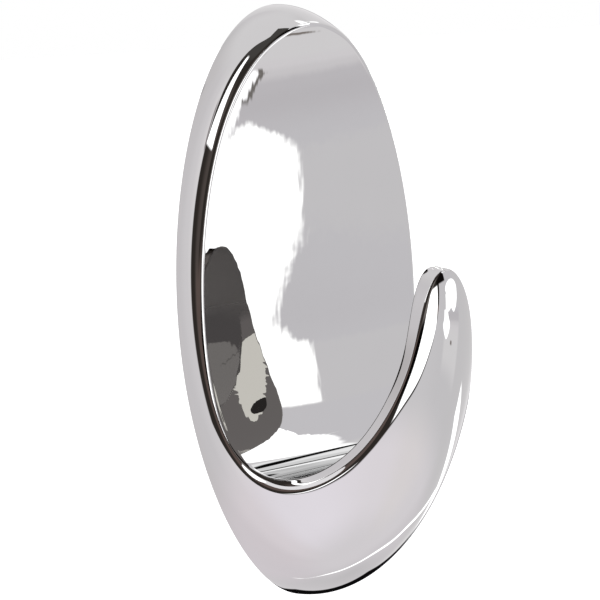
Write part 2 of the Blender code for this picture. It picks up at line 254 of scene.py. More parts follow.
def half_skin(rows, face_columns, egg_columns):
    """Left half of the solid half-egg with its scoop and rim, flat behind and open at X = 0."""
    stations = np.linspace(0.0, math.pi, rows + 1)
    outer, across, up = scoop_edge(stations)
    along, into, outward = rim_frame(outer)
    wide = clamped_spline(RIM_ACROSS, stations)[:, None]
    deep = clamped_spline(RIM_DEEP, stations)[:, None]
    inner = outer - wide * outward - deep * into
    inner[0, 0] = inner[-1, 0] = 0.0
    away = unit(np.cross(along, egg_normal(across, up)))
    away *= np.sign((away * into).sum(1) + 0.3 * (away * outward).sum(1))[:, None]

    half = np.abs(inner[:, 0])
    fade = 1 - smooth(stations, *CROWN_FADE)
    crown = fade / (2 * CROWN_RADIUS)

    lines = []
    for c in range(face_columns):  # across the face, closer together towards the rim
        t = math.sin(0.5 * math.pi * c / face_columns)
        rise = crown * half**2 * (1 - t * t)
        lines.append(inner * [t, 1.0, 1.0] - into * rise[:, None])
    lines += rim_lines(inner, outer, outward, away, stations)
    foot = stations + 0.45 * np.sin(stations) ** 2
    for c in range(1, egg_columns + 1):  # round the egg to just short of the wall outline
        t = c / egg_columns * (1 - REAR_ROUND / EGG_DEPTH * 2 / math.pi)
        lines.append(
            egg_point(
                across * (1 - t) - t * math.pi / 2 * np.sin(foot),
                up * (1 - t) + t * math.pi / 2 * np.cos(foot),
            )
        )
    rim = egg_point(-math.pi / 2 * np.sin(foot), math.pi / 2 * np.cos(foot))
    run = unit(np.gradient(rim, axis=0))
    run[0], run[-1] = (-1, 0, 0), (1, 0, 0)
    side = np.stack([run[:, 2], np.zeros(len(run)), -run[:, 0]], 1)
    side *= np.sign((side * rim).sum(1))[:, None]
    for c in range(1, REAR_COLUMNS + 1):  # the rounded rear edge
        turn = 0.5 * math.pi * c / REAR_COLUMNS
        line = rim - side * REAR_ROUND * (1 - math.cos(turn))
        line[:, 1] = REAR_ROUND * (1 - math.sin(turn))
        lines.append(line)
    lines[-1][:, 1] = 0.0
    for line in lines:
        line[0, 0] = line[-1, 0] = 0.0

    count = rows + 1
    faces = []
    for c in range(len(lines) - 1):
        for r in range(rows):
            k = c * count + r
            faces.append((k, k + 1, k + count + 1, k + count))
    last = (len(lines) - 1) * count
    faces.append(tuple(range(last, last + count)))
    return np.concatenate(lines), faces, inner


def from_wall(points):
    """Millimetres (across, forward of the rear plane, up) to scene metres."""
    return [(x * MM, -(d + STANDOFF) * MM, z * MM) for x, d, z in np.asarray(points, float)]


def new_object(name, work, collection):
    bmesh.ops.recalc_face_normals(work, faces=work.faces)
    if work.calc_volume(signed=True) < 0:
        bmesh.ops.reverse_faces(work, faces=work.faces)
    mesh = bpy.data.meshes.new(name)
    work.to_mesh(mesh)
    work.free()
    obj = bpy.data.objects.new(name, mesh)
    collection.objects.link(obj)
    return obj


def loft(name, points, faces, collection):
    mesh = bpy.data.meshes.new(name)
    mesh.from_pydata(points, [], faces)
    work = bmesh.new()
    work.from_mesh(mesh)
    bpy.data.meshes.remove(mesh)
    bmesh.ops.remove_doubles(work, verts=work.verts, dist=1.5e-6)
    return new_object(name, work, collection)


def block(name, x, y, z, collection, soften=0.0):
    """Block between two corners, in mm, y being distances out from the wall, edges softened."""
    work = bmesh.new()
    bmesh.ops.create_cube(work, size=1.0)
    low = np.array([x[0], -y[1], z[0]]) * MM
    high = np.array([x[1], -y[0], z[1]]) * MM
    for vertex in work.verts:
        vertex.co = low + (np.array(vertex.co) + 0.5) * (high - low)
    if soften:
        bmesh.ops.bevel(
            work, geom=work.edges[:], offset=soften * MM, segments=3, profile=0.5, affect="EDGES"
        )
    return new_object(name, work, collection)


def extruded(name, profile, half_width, collection):
    """Solid with a side view of (forward, height) points, straight across."""
    work = bmesh.new()
    points = from_wall([(-half_width, d, z) for d, z in profile])
    face = work.faces.new([work.verts.new(p) for p in points])
    made = bmesh.ops.extrude_face_region(work, geom=[face])
    moved = [item for item in made["geom"] if isinstance(item, bmesh.types.BMVert)]
    bmesh.ops.translate(work, verts=moved, vec=(2 * half_width * MM, 0.0, 0.0))
    return new_object(name, work, collection)


def boolean(obj, tool, operation):
    step = obj.modifiers.new(f"{operation.title()} {tool.name}", "BOOLEAN")
    step.operation = operation
    step.object = tool
    step.solver = "EXACT"


def apply_modifiers(obj):
    """Turns the object's modifiers into mesh."""
    graph = bpy.context.evaluated_depsgraph_get()
    mesh = bpy.data.meshes.new_from_object(obj.evaluated_get(graph), depsgraph=graph)
    obj.modifiers.clear()
    old, obj.data = obj.data, mesh
    bpy.data.meshes.remove(old)


def hollow(inner_edge, helpers):
    """Cutter for the back: the egg drawn in by the wall's thickness, and kept behind the plate
    and under the trough."""
    rings = []
    points, faces = [], []
    turns = np.linspace(0, 2 * math.pi, HOLLOW_COLUMNS, endpoint=False)
    for reach in np.linspace(0.06, 1.0, 36):
        across = reach * math.pi / 2 * np.sin(turns)
        up = reach * math.pi / 2 * np.cos(turns)
        ring = egg_point(across, up) - SKIRT_WALL * egg_normal(across, up)
        if reach == 1.0:
            ring[:, 1] = 0.0
        rings.append(list(range(len(points), len(points) + HOLLOW_COLUMNS)))
        points.extend(ring)
    behind = np.array(points[-HOLLOW_COLUMNS:]) * [1, 0, 1] + [0, -2.0, 0]
    rings.append(list(range(len(points), len(points) + HOLLOW_COLUMNS)))
    points.extend(behind)
    nose = len(points)
    points.append(egg_point(np.array(0.0), np.array(1e-6)) - [0, SKIRT_WALL, 0])
    for first, second in zip(rings, rings[1:]):
        for k in range(HOLLOW_COLUMNS):
            n = (k + 1) % HOLLOW_COLUMNS
            faces.append((first[k], first[n], second[n], second[k]))
    faces.extend(
        (nose, rings[0][(k + 1) % HOLLOW_COLUMNS], rings[0][k]) for k in range(HOLLOW_COLUMNS)
    )
    faces.append(tuple(rings[-1]))
    cutter = loft("hollow", from_wall(points), faces, helpers)

    side = inner_edge[:, 1:]
    slope = unit(np.gradient(side, axis=0))
    back = side + PLATE_WALL * np.stack([slope[:, 1], -slope[:, 0]], 1)
    keep = [tuple(p) for p in back[2:-1] if p[0] < 6.6 and p[1] > -21.2]
    profile = [(-3.0, 45.0), (keep[0][0], 45.0), *keep[::5]]
    profile += [(8.6, SHELF_HEIGHT), (45.0, SHELF_HEIGHT), (45.0, -45.0), (-3.0, -45.0)]
    limit = extruded("hollow_limit", profile, 30.0, helpers)
    boolean(cutter, limit, "INTERSECT")
    apply_modifiers(cutter)
    return cutter


def make_hook(collection, helpers):
    points, faces, inner = half_skin(ROWS, FACE_COLUMNS, EGG_COLUMNS)
    hook = loft("hook_shell", from_wall(points), faces, collection)
    mirror = hook.modifiers.new("Right half", "MIRROR")
    mirror.use_mirror_merge = True
    mirror.merge_threshold = 0.000004
    boolean(hook, hollow(inner, helpers), "DIFFERENCE")
    for side, name in ((-1, "left"), (1, "right")):
        web = block(
            f"rail_web_{name}",
            sorted((side * RAIL_IN, side * RAIL_OUT)),
            (RAIL_BACK, RAIL_FRONT),
            (RAIL_BOTTOM, RAIL_TOP),
            helpers,
            0.12,
        )
        lip = block(
            f"rail_lip_{name}",
            sorted((side * RAIL_LIP_IN, side * (RAIL_IN + 0.7))),
            (RAIL_BACK, LIP_FRONT),
            (RAIL_BOTTOM, RAIL_TOP),
            helpers,
            0.12,
        )
        boolean(web, lip, "UNION")
        boolean(hook, web, "UNION")
    rib = block(
        "stop_rib",
        (-STOP_HALF_WIDTH, STOP_HALF_WIDTH),
        (RAIL_BACK, RIB_FRONT),
        (STOP_BOTTOM, STOP_BOTTOM + STOP_THICK),
        helpers,
        0.12,
    )
    boolean(hook, rib, "UNION")
    apply_modifiers(hook)
    hook.data.shade_smooth()
    hook.data.set_sharp_from_angle(angle=math.radians(32))
    return hook


# --- Node helper ------------------------------------------------------------------------------


class Graph:
    """Strings shader nodes together; values may be numbers or sockets."""

    def __init__(self, tree):
        self.tree = tree

    def add(self, kind, **settings):
        node = self.tree.nodes.new(kind)
        for key, value in settings.items():
            setattr(node, key, value)
        return node

    def put(self, socket, value):
        if hasattr(value, "is_output"):
            self.tree.links.new(value, socket)
        else:
            socket.default_value = value

    def math(self, operation, *values, clamp=False):
        node = self.add("ShaderNodeMath", operation=operation, use_clamp=clamp)
        for socket, value in zip(node.inputs, values):
            self.put(socket, value)
        return node.outputs[0]

    def step(self, value, low, high, start=0.0, end=1.0):
        """Smooth rise from start to end while value goes from low to high."""
        node = self.add("ShaderNodeMapRange", interpolation_type="SMOOTHSTEP")
        for socket, item in zip(node.inputs[:5], (value, low, high, start, end)):
            self.put(socket, item)
        return node.outputs[0]

    def mix(self, factor, one, two):
        node = self.add("ShaderNodeMix", data_type="RGBA")
        self.put(node.inputs[0], factor)
        self.put(node.inputs[6], one)
        self.put(node.inputs[7], two)
        return node.outputs[2]


# --- Studio -----------------------------------------------------------------------------------


PLATING = 0.57  # how much light the bright plating returns


def linear(*srgb):
    """0..255 display colour to scene-linear."""
    out = []
    for value in srgb:
        value = value / 255
        out.append(value / 12.92 if value <= 0.04045 else ((value + 0.055) / 1.055) ** 2.4)
    return (*out, 1.0)


def grey(level):
    return linear(level, level, level)


def lit(*srgb):
    """Brightness of a card that the plating shows as this 0..255 display colour."""
    return (*(value / PLATING for value in linear(*(srgb * 3 if len(srgb) == 1 else srgb))[:3]), 1.0)


class Room:
    """A directional world built up from soft cards. Bearings are degrees from straight ahead of
    the wall, to the right (+); heights are degrees above the horizon."""

    def __init__(self, tree):
        g = self.g = Graph(tree)
        split = g.add("ShaderNodeSeparateXYZ")
        self.ray = g.add("ShaderNodeTexCoord").outputs["Generated"]
        g.put(split.inputs[0], self.ray)
        x, y, z = self.x, self.y, self.z = split.outputs
        turn = g.math("ARCTAN2", x, g.math("MULTIPLY", y, -1.0))
        self.bearing = g.math("MULTIPLY", turn, 180 / math.pi)
        self.height = g.math("MULTIPLY", g.math("ARCSINE", z), 180 / math.pi)
        self.colour = None

    def curve_of(self, value, points, floor_, top, soft_corners=True):
        """A curve over any value."""
        g = self.g
        low, high = points[0][0], points[-1][0]
        node = g.add("ShaderNodeFloatCurve")
        line = node.mapping.curves[0]
        spots = [((a - low) / (high - low), (e - floor_) / (top - floor_)) for a, e in points]
        line.points[0].location, line.points[1].location = spots[0], spots[-1]
        for spot in spots[1:-1]:
            line.points.new(*spot)
        for point in line.points:
            point.handle_type = "AUTO" if soft_corners else "VECTOR"
        node.mapping.update()
        part = g.math("DIVIDE", g.math("SUBTRACT", value, low), high - low, clamp=True)
        g.put(node.inputs["Value"], part)
        return g.math("MULTIPLY_ADD", node.outputs[0], top - floor_, floor_)

    def curve(self, points, soft_corners=True):
        """Height as a curve over the bearing."""
        return self.curve_of(self.bearing, points, -90.0, 90.0, soft_corners)

    def ramp(self, value, low, high, stops):
        """Card colours along a value."""
        g = self.g
        node = g.add("ShaderNodeValToRGB")
        node.color_ramp.interpolation = "EASE"
        elements = node.color_ramp.elements
        for k, (at, colour) in enumerate(stops):
            spot = (at - low) / (high - low)
            item = elements[k] if k < 2 else elements.new(spot)
            item.position = spot
        for item, (at, colour) in zip(elements, stops):
            item.position = (at - low) / (high - low)
            item.color = lit(*colour)
        g.put(node.inputs[0], g.math("DIVIDE", g.math("SUBTRACT", value, low), high - low, clamp=True))
        return node.outputs[0]

    def over(self, value, edge, soft):
        """1 where value is over edge."""
        return self.g.step(self.g.math("SUBTRACT", value, edge), -soft / 2, soft / 2)

    def under(self, value, edge, soft):
        return self.g.step(self.g.math("SUBTRACT", value, edge), -soft / 2, soft / 2, 1.0, 0.0)

    def both(self, *masks):
        out = masks[0]
        for mask in masks[1:]:
            out = self.g.math("MULTIPLY", out, mask)
        return out

    def box(self, bearings, heights, soft=0.6, soft_up=None):
        soft_up = soft if soft_up is None else soft_up
        return self.both(
            self.over(self.bearing, bearings[0], soft),
            self.under(self.bearing, bearings[1], soft),
            self.over(self.height, heights[0], soft_up),
            self.under(self.height, heights[1], soft_up),
        )

    def line(self, value, edge, width, soft):
        """A thin line of this width round the edge."""
        away = self.g.math("ABSOLUTE", self.g.math("SUBTRACT", value, edge))
        return self.g.step(away, (width - soft) / 2, (width + soft) / 2, 1.0, 0.0)

    def paint(self, mask, colour):
        self.colour = self.g.mix(mask, self.colour, colour)


def studio(scene):
    """The studio as the plating sees it: pale walls and floor, dark flags on the camera's side,
    and white softboxes."""
    world = bpy.data.worlds.new("Studio")
    scene.world = world
    world.use_nodes = True
    tree = world.node_tree
    tree.nodes.clear()
    r = Room(tree)
    g, bearing, height = r.g, r.bearing, r.height

    # Pale walls all round, and the floor, a little lilac.
    walls = r.ramp(bearing, -180.0, 180.0, (
        (-180, (184, 182, 183)), (-150, (190, 187, 188)), (-135, (194, 191, 193)),
        (-127, (201, 198, 200)), (-121, (211, 208, 209)), (-60, (205, 203, 205)),
        (0, (196, 194, 196)), (35, (192, 190, 192)), (100, (190, 188, 189)),
        (120, (200, 198, 199)), (150, (192, 189, 191)), (180, (184, 182, 183)),
    ))
    floor_ = r.ramp(bearing, -180.0, 180.0, (
        (-180, (200, 194, 198)), (-150, (203, 196, 200)), (-131, (211, 204, 208)),
        (-105, (220, 215, 221)), (-85, (221, 216, 222)), (-30, (215, 210, 214)),
        (10, (212, 207, 208)), (60, (207, 203, 206)), (90, (198, 194, 197)),
        (120, (186, 183, 185)), (150, (190, 187, 189)), (180, (200, 194, 198)),
    ))
    r.colour = g.mix(g.step(height, -48.0, -30.0, 1.0, 0.0), walls, floor_)
    r.paint(g.step(height, -85.0, -62.0, 1.0, 0.0), lit(206, 202, 205))
    # Light overhead.
    r.paint(g.step(height, 40.0, 62.0), lit(204, 202, 203))
    r.paint(r.box((60.0, 180.0), (22.0, 44.0), 16.0, 8.0), lit(201, 199, 200))

    # Dark flags round the camera, from the left to straight ahead, and over it.
    brink = r.curve((
        (-180, 20), (-150, 10), (-134, -10), (-127, -26), (-124, -33), (-118, -40), (-110, -45),
        (-100, -48.7), (-90, -50.4), (-80, -51), (-70, -50.6), (-60, -49.5), (-45, -45.8),
        (-30, -41), (-15, -35.8), (0, -30), (6, -26.5), (12, -21.5), (16, -17), (18, -12),
        (20, -4), (24, 30), (40, 60), (180, 80),
    ))
    left = g.math("MULTIPLY_ADD", height, 0.13, -123.2)
    left = g.math("MINIMUM", left, -119.0)
    right = g.math("ADD", g.step(height, 44.0, 50.0, 34.0, 42.0), g.step(height, 55.5, 59.0, 0.0, 65.0))
    flag = r.both(
        r.over(height, brink, 0.7),
        r.over(bearing, left, 0.9),
        r.under(bearing, right, 1.5),
    )
    r.paint(flag, lit(44, 40, 37))
    r.paint(r.both(flag, r.over(height, 66.0, 8.0)), lit(64, 62, 60))
    # The flags' soft inner glow, warm low down, and their black part under the camera.
    r.paint(r.both(flag, r.box((-110.0, -88.0), (-22.0, 50.0), 14.0, 14.0)), lit(72, 65, 62))
    r.paint(r.both(flag, r.box((-104.0, -36.0), (-30.0, 2.0), 10.0, 8.0)), lit(86, 74, 70))
    r.paint(r.both(flag, r.box((-20.0, 2.0), (-8.0, 36.0), 12.0, 12.0)), lit(112, 106, 103))
    r.paint(r.both(flag, r.box((-50.0, -1.0), (-32.0, -8.0), 7.0, 6.0)), lit(8, 6, 6))
    r.paint(r.both(flag, r.box((4.0, 24.0), (-8.5, -3.5), 3.0, 2.0)), lit(112, 97, 92))
    # Black seam next to the big softbox.
    r.paint(r.box((15.0, 35.5), (9.5, 46.0), 2.0, 1.5), lit(14, 11, 10))

    # White card low on the right of the dark flags, with a black seam below it.
    inner = r.curve((
        (-40, -47.5), (-28, -40), (-23, -36.6), (-18, -32.4), (-13, -28.2), (-8, -23),
        (-5, -18), (-2.7, -12), (-1.2, -6), (-0.2, 0), (2, 6), (40, 60),
    ))
    lens = r.both(
        r.over(height, g.math("ADD", brink, 1.0), 0.7),
        r.under(height, inner, 1.2),
        r.under(bearing, 17.6, 0.6),
        r.under(height, 9.0, 2.0),
    )
    r.paint(lens, (2.6, 2.6, 2.6, 1.0))

    # Big softbox that the plate's face shows, with a slanting lower edge, and the white card
    # beside it, a narrow grey gap between them.
    slant = g.math("MULTIPLY_ADD", g.math("ADD", height, 8.1), -0.79, 36.7)
    reach = g.math("MINIMUM", g.math("ADD", slant, 0.8), 40.9)
    edge = r.curve((
        (33, -7.4), (36.9, -7.45), (37.9, -8.3), (39.2, -8.5), (42.8, -7.35), (44, -7.15), (60, -7),
    ), False)
    corner = r.both(
        r.under(bearing, reach, 0.5), r.over(bearing, 31.0, 1.6), r.over(height, -13.0, 0.7),
        r.under(height, -7.2, 0.5),
    )
    under = r.both(
        r.over(height, -24.0, 6.0), r.under(height, edge, 0.35), r.box((32.0, 62.0), (-40.0, 10.0), 4.0),
    )
    r.paint(under, r.ramp(height, -15.5, -7.0, (
        (-15.5, (204, 202, 203)), (-13.4, (203, 200, 202)), (-12.2, (197, 194, 196)),
        (-11.0, (184, 181, 184)), (-9.6, (182, 179, 182)), (-7, (189, 187, 190)),
    )))
    r.paint(r.both(
        r.line(bearing, g.math("ADD", reach, 0.35), 0.5, 0.3), r.box((33.0, 46.0), (-13.2, -9.8), 0.6),
    ), lit(110, 106, 103))
    r.paint(r.both(
        r.line(height, -17.7, 1.0, 0.6), r.box((44.2, 47.6), (-20.0, -15.0), 1.6),
    ), lit(118, 111, 107))
    r.paint(corner, (2.1, 2.1, 2.1, 1.0))
    softbox = r.both(r.box((33.6, 43.6), (-12.0, 0.6), 0.8, 1.2), r.over(height, edge, 0.35))
    r.paint(softbox, (2.1, 2.1, 2.08, 1.0))

    # Above it, a grey card, then a white one with a leaning side and thin seams.
    r.paint(r.box((36.0, 58.0), (0.8, 44.0), 3.0, 1.6), lit(191, 189, 192))
    side = r.curve((
        (0, 17.4), (44.5, 17.4), (48, 22), (50.5, 26), (54, 31), (59, 36), (64, 39), (90, 52),
    ), False)
    r.paint(r.both(
        r.over(height, side, 0.8), r.box((36.5, 72.0), (10.0, 40.2), 2.0, 1.0),
    ), (2.2, 2.2, 2.2, 1.0))
    r.paint(r.both(
        r.line(height, g.math("MULTIPLY_ADD", bearing, -2.6, 146.0), 0.9, 0.7),
        r.box((45.8, 48.2), (21.0, 27.0), 0.8),
    ), lit(225))
    r.paint(r.box((62.0, 88.0), (40.8, 47.0), 3.0, 0.8), lit(228))
    r.paint(r.box((77.0, 88.5), (45.2, 48.8), 3.0, 0.8), lit(206))
    r.paint(r.box((92.0, 106.0), (44.5, 49.5), 2.0, 1.0), lit(246))
    r.paint(r.both(r.line(bearing, 90.2, 4.6, 1.6), r.box((84.0, 96.0), (45.4, 48.8), 1.0)), lit(92))
    r.paint(r.box((56.0, 105.0), (49.5, 57.0), 3.0, 1.0), (2.1, 2.1, 2.1, 1.0))
    r.paint(r.box((79.0, 106.5), (33.0, 43.5), 2.0, 1.0), (2.1, 2.1, 2.1, 1.0))
    seam = r.curve_of(height, (
        (36, 65.6), (41, 66.4), (42.5, 67.2), (43.5, 68), (44.3, 69), (45.3, 71), (46.3, 73), (50, 80),
    ), 0.0, 100.0)
    r.paint(r.both(
        r.line(bearing, seam, 3.9, 1.1), r.over(height, 39.8, 0.8), r.under(height, 47.4, 0.8),
    ), lit(6))

    # White band high on the left, with a dark seam on its outer edge.
    edge = r.curve((
        (-180, 0), (-119.4, 27), (-117.2, 35), (-115, 46), (-112, 64), (-111, 90), (180, 90),
    ), False)
    far = g.math("MULTIPLY_ADD", height, -0.14, -97.8)
    band = r.both(
        r.under(height, edge, 1.4), r.under(bearing, far, 1.2),
        r.over(height, 28.0, 1.2), r.under(height, 67.0, 3.0), r.over(bearing, -123.0, 1.0),
    )
    r.paint(band, (2.6, 2.6, 2.6, 1.0))
    r.paint(r.both(
        r.line(bearing, -120.2, 1.2, 0.8), r.over(height, 26.0, 2.0), r.under(height, 40.0, 6.0),
    ), lit(120, 112, 114))

    # Dark screen far behind on the left, and the room's dim end straight behind the object,
    # which only the moulding's outlines show.
    r.paint(r.both(
        g.math("MAXIMUM", r.under(bearing, -150.0, 3.0), r.over(bearing, 152.0, 3.0)),
        r.over(height, 5.0, 2.0), r.under(height, 34.0, 6.0),
    ), lit(34, 31, 30))
    toward = g.add("ShaderNodeVectorMath", operation="DISTANCE")
    g.put(toward.inputs[0], r.ray)
    toward.inputs[1].default_value = (0.6895, 0.7140, -0.1219)
    r.paint(g.step(toward.outputs["Value"], 0.22, 0.34, 1.0, 0.0), lit(140, 138, 140))

    # Dark seam low on the right of the belly.
    r.paint(r.box((119.0, 148.0), (-42.5, -19.0), 2.0, 2.0), lit(8, 7, 8))

    # Bright line round the underside, seen from straight below: turn about the front axis.
    low = g.math("MULTIPLY", g.math("ARCTAN2", r.x, g.math("MULTIPLY", r.z, -1.0)), 180 / math.pi)
    hoop = r.curve_of(low, (
        (4.5, .52), (6.3, .459), (6.6, .40), (7.2, .312), (8.7, .249), (11.2, .189), (14, .131),
        (17.3, .077), (21.2, .029), (27.3, .001), (34, .003), (39, .012), (43.4, .024),
        (48.9, .07), (55, .144), (58.9, .199), (64.2, .29), (66.5, .42),
    ), -1.0, 1.0)
    ring = r.both(
        r.line(r.y, hoop, 0.036, 0.014), g.step(low, 5.0, 7.0), g.step(low, 65.5, 67.0, 1.0, 0.0),
    )
    rise = r.both(
        g.step(g.math("ABSOLUTE", g.math("SUBTRACT", low, g.math("MULTIPLY_ADD", r.y, -4.3, 67.5))), 1.6, 2.9, 1.0, 0.0),
        g.step(r.y, -0.13, -0.10), g.step(r.y, 0.36, 0.54, 1.0, 0.0),
    )
    r.paint(g.math("MAXIMUM", ring, rise), (2.6, 2.6, 2.6, 1.0))

    path = g.add("ShaderNodeLightPath")
    seen = g.mix(path.outputs["Is Diffuse Ray"], r.colour, (0.85, 0.85, 0.86, 1.0))
    seen = g.mix(path.outputs["Is Camera Ray"], seen, (1.0, 1.0, 1.0, 1.0))
    background = g.add("ShaderNodeBackground")
    g.put(background.inputs["Color"], seen)
    out = g.add("ShaderNodeOutputWorld")
    g.put(out.inputs[0], background.outputs[0])


def near_light(name, centre, away, outline, colour):
    """Small flat light close to the object. centre is its place in mm, away points on from the
    object through it, and outline is in its own plane, mm."""
    away = Vector(away).normalized()
    right = Vector((0.0, 0.0, 1.0)).cross(away).normalized()
    up = away.cross(right)
    work = bmesh.new()
    middle = Vector(centre)
    spots = [(middle + float(u) * right + float(v) * up) * MM for u, v in outline]
    work.faces.new([work.verts.new(spot) for spot in spots])
    mesh = bpy.data.meshes.new(name)
    work.to_mesh(mesh)
    work.free()
    obj = bpy.data.objects.new(name, mesh)
    bpy.context.scene.collection.objects.link(obj)
    made = bpy.data.materials.new(name)
    made.use_nodes = True
    tree = made.node_tree
    tree.nodes.clear()
    g = Graph(tree)
    lamp = g.add("ShaderNodeEmission")
    lamp.inputs["Color"].default_value = (*colour, 1.0)
    out = g.add("ShaderNodeOutputMaterial")
    g.put(out.inputs[0], lamp.outputs[0])
    obj.data.materials.append(made)
    obj.visible_camera = False
    obj.visible_diffuse = False
    obj.visible_shadow = False
    return obj


def drop(half_width, top, bottom, lean=0.0, middle=(0.0, 0.0)):
    """Teardrop outline: a round head and a tail that narrows to a blunt point below."""
    points = []
    for k in range(48):
        turn = 2 * math.pi * k / 48
        u, v = math.sin(turn), math.cos(turn)
        if v >= 0:
            points.append((middle[0] + half_width * u, middle[1] + top * v))
        else:
            slim = (1 + v) ** 0.5 if v > -1 else 0.0
            wide = half_width * u * (0.35 + 0.65 * slim)
            points.append((middle[0] + wide - lean * v, middle[1] + bottom * v))
    return points


def ribbon(line, half_width, ragged, steps=70):
    """Outline of a bent strip with a ragged edge; line is its (u, v) middle from end to end."""
    v = np.linspace(line[0][1], line[-1][1], steps)
    u = np.interp(v, [p[1] for p in line], [p[0] for p in line])
    part = np.linspace(0, math.pi, steps)
    wide = half_width * np.sin(part) ** 0.45
    tear = np.sin(23 * part + 0.4) + 0.8 * np.sin(41 * part) + 0.6 * np.sin(67 * part + 1.0)
    other = np.sin(29 * part) + 0.7 * np.sin(47 * part + 2.0) + 0.5 * np.sin(71 * part)
    one = [(a - w - ragged * t * math.sin(q), b) for a, b, w, t, q in zip(u, v, wide, tear, part)]
    two = [(a + w + ragged * t * math.sin(q), b) for a, b, w, t, q in zip(u, v, wide, other, part)]
    return one + two[-2:0:-1]


def oval(long, wide, lean, middle):
    """Outline of an oval, its half-axes in mm, the long one leaning by an angle in radians."""
    points = []
    for k in range(48):
        turn = 2 * math.pi * k / 48
        u, v = long * math.cos(turn), wide * math.sin(turn)
        points.append((
            middle[0] + u * math.cos(lean) - v * math.sin(lean),
            middle[1] + u * math.sin(lean) + v * math.cos(lean),
        ))
    return points


def near_lights():
    """The little lights round the hook: one high at the wall side that the trough shows on the
    dark, two close by the left of the trough that light the flat of its rim, and two in front,
    to the right of the tongue's tip."""
    near_light(
        "light_rim", (-20.12, -12.46, -17.29), (-0.785, -0.453, 0.423),
        oval(4.72, 4.64, 2.9, (3.2, -4.3)), (1.28, 1.25, 1.27),
    )
    near_light(
        "light_rim_low", (-18.55, -11.55, -18.13), (-0.785, -0.453, 0.423),
        oval(3.56, 1.31, 0.86, (-2.09, -3.35)), (2.4, 2.4, 2.4),
    )
    near_light(
        "light_window", (39.4, 9.6, 21.7), (0.619, 0.578, 0.531),
        ribbon(((2.4, -13.5), (3.6, -8.0), (3.4, -5.0), (1.3, 0.0), (-0.8, 4.0), (-4.2, 8.5), (-8.8, 13.5)), 5.1, 0.42),
        (4.7, 4.84, 4.62),
    )
    near_light(
        "dark_window_bar", (38.78, 9.02, 21.17), (0.619, 0.578, 0.531),
        drop(2.0, 2.7, 3.1, 0.6, (-7.2, 8.4)), (0.16, 0.15, 0.15),
    )
    near_light(
        "light_tip", (29.2, -58.1, 2.4), (0.729, -0.685, 0.0),
        drop(11.0, 5.0, 11.0, 1.5, (1.0, 2.6)), (2.2, 2.2, 2.2),
    )
    near_light(
        "light_tip_low", (21.6, -62.3, -10.9), (0.567, -0.791, -0.232),
        drop(4.6, 3.6, 4.4), (2.2, 2.2, 2.2),
    )


def camera(scene):
    """Photograph's view: 44 degrees to the left, 7 degrees up, rolled 3.3 degrees, 450 mm off."""
    side, up, roll = math.radians(44.0), math.radians(6.96), math.radians(3.29)
    back = Vector((-math.sin(side) * math.cos(up), -math.cos(side) * math.cos(up), math.sin(up)))
    right = Vector((math.cos(side), -math.sin(side), 0.0))
    top = back.cross(right)
    place = (450.0 * back + 1.31 * right + 0.14 * top + Vector((0.0, -STANDOFF, 0.0))) * MM
    x = math.cos(roll) * right - math.sin(roll) * top
    y = math.sin(roll) * right + math.cos(roll) * top
    data = bpy.data.cameras.new("Camera")
    data.sensor_width = 36.0
    data.lens = 200.35
    data.clip_start = 0.01
    data.clip_end = 20.0
    obj = bpy.data.objects.new("Camera", data)
    obj.matrix_world = Matrix(
        [[x[i], y[i], back[i], place[i]] for i in range(3)] + [[0.0, 0.0, 0.0, 1.0]]
    )
    scene.collection.objects.link(obj)
    scene.camera = obj


def floor(scene):
    work = bmesh.new()
    bmesh.ops.create_circle(work, cap_ends=True, radius=3.0, segments=96)
    obj = new_object("floor", work, scene.collection)
    obj.location.z = -0.10
    made = bpy.data.materials.new("Floor")
    made.use_nodes = True
    shader = made.node_tree.nodes["Principled BSDF"]
    shader.inputs["Base Color"].default_value = (0.9, 0.9, 0.9, 1.0)
    shader.inputs["Roughness"].default_value = 0.9
    shader.inputs["Emission Color"].default_value = (1.0, 1.0, 1.0, 1.0)
    shader.inputs["Emission Strength"].default_value = 0.6
    obj.data.materials.append(made)
    obj.visible_glossy = False


def noise(g, vector, scale, detail=2.0, rough=0.5):
    node = g.add("ShaderNodeTexNoise", noise_dimensions="3D")
    g.put(node.inputs["Vector"], vector)
    node.inputs["Scale"].default_value = scale
    node.inputs["Detail"].default_value = detail
    node.inputs["Roughness"].default_value = rough
    return node.outputs[0]


def stretched(g, vector, scale):
    node = g.add("ShaderNodeMapping")
    g.put(node.inputs["Vector"], vector)
    node.inputs["Scale"].default_value = scale
    return node.outputs[0]


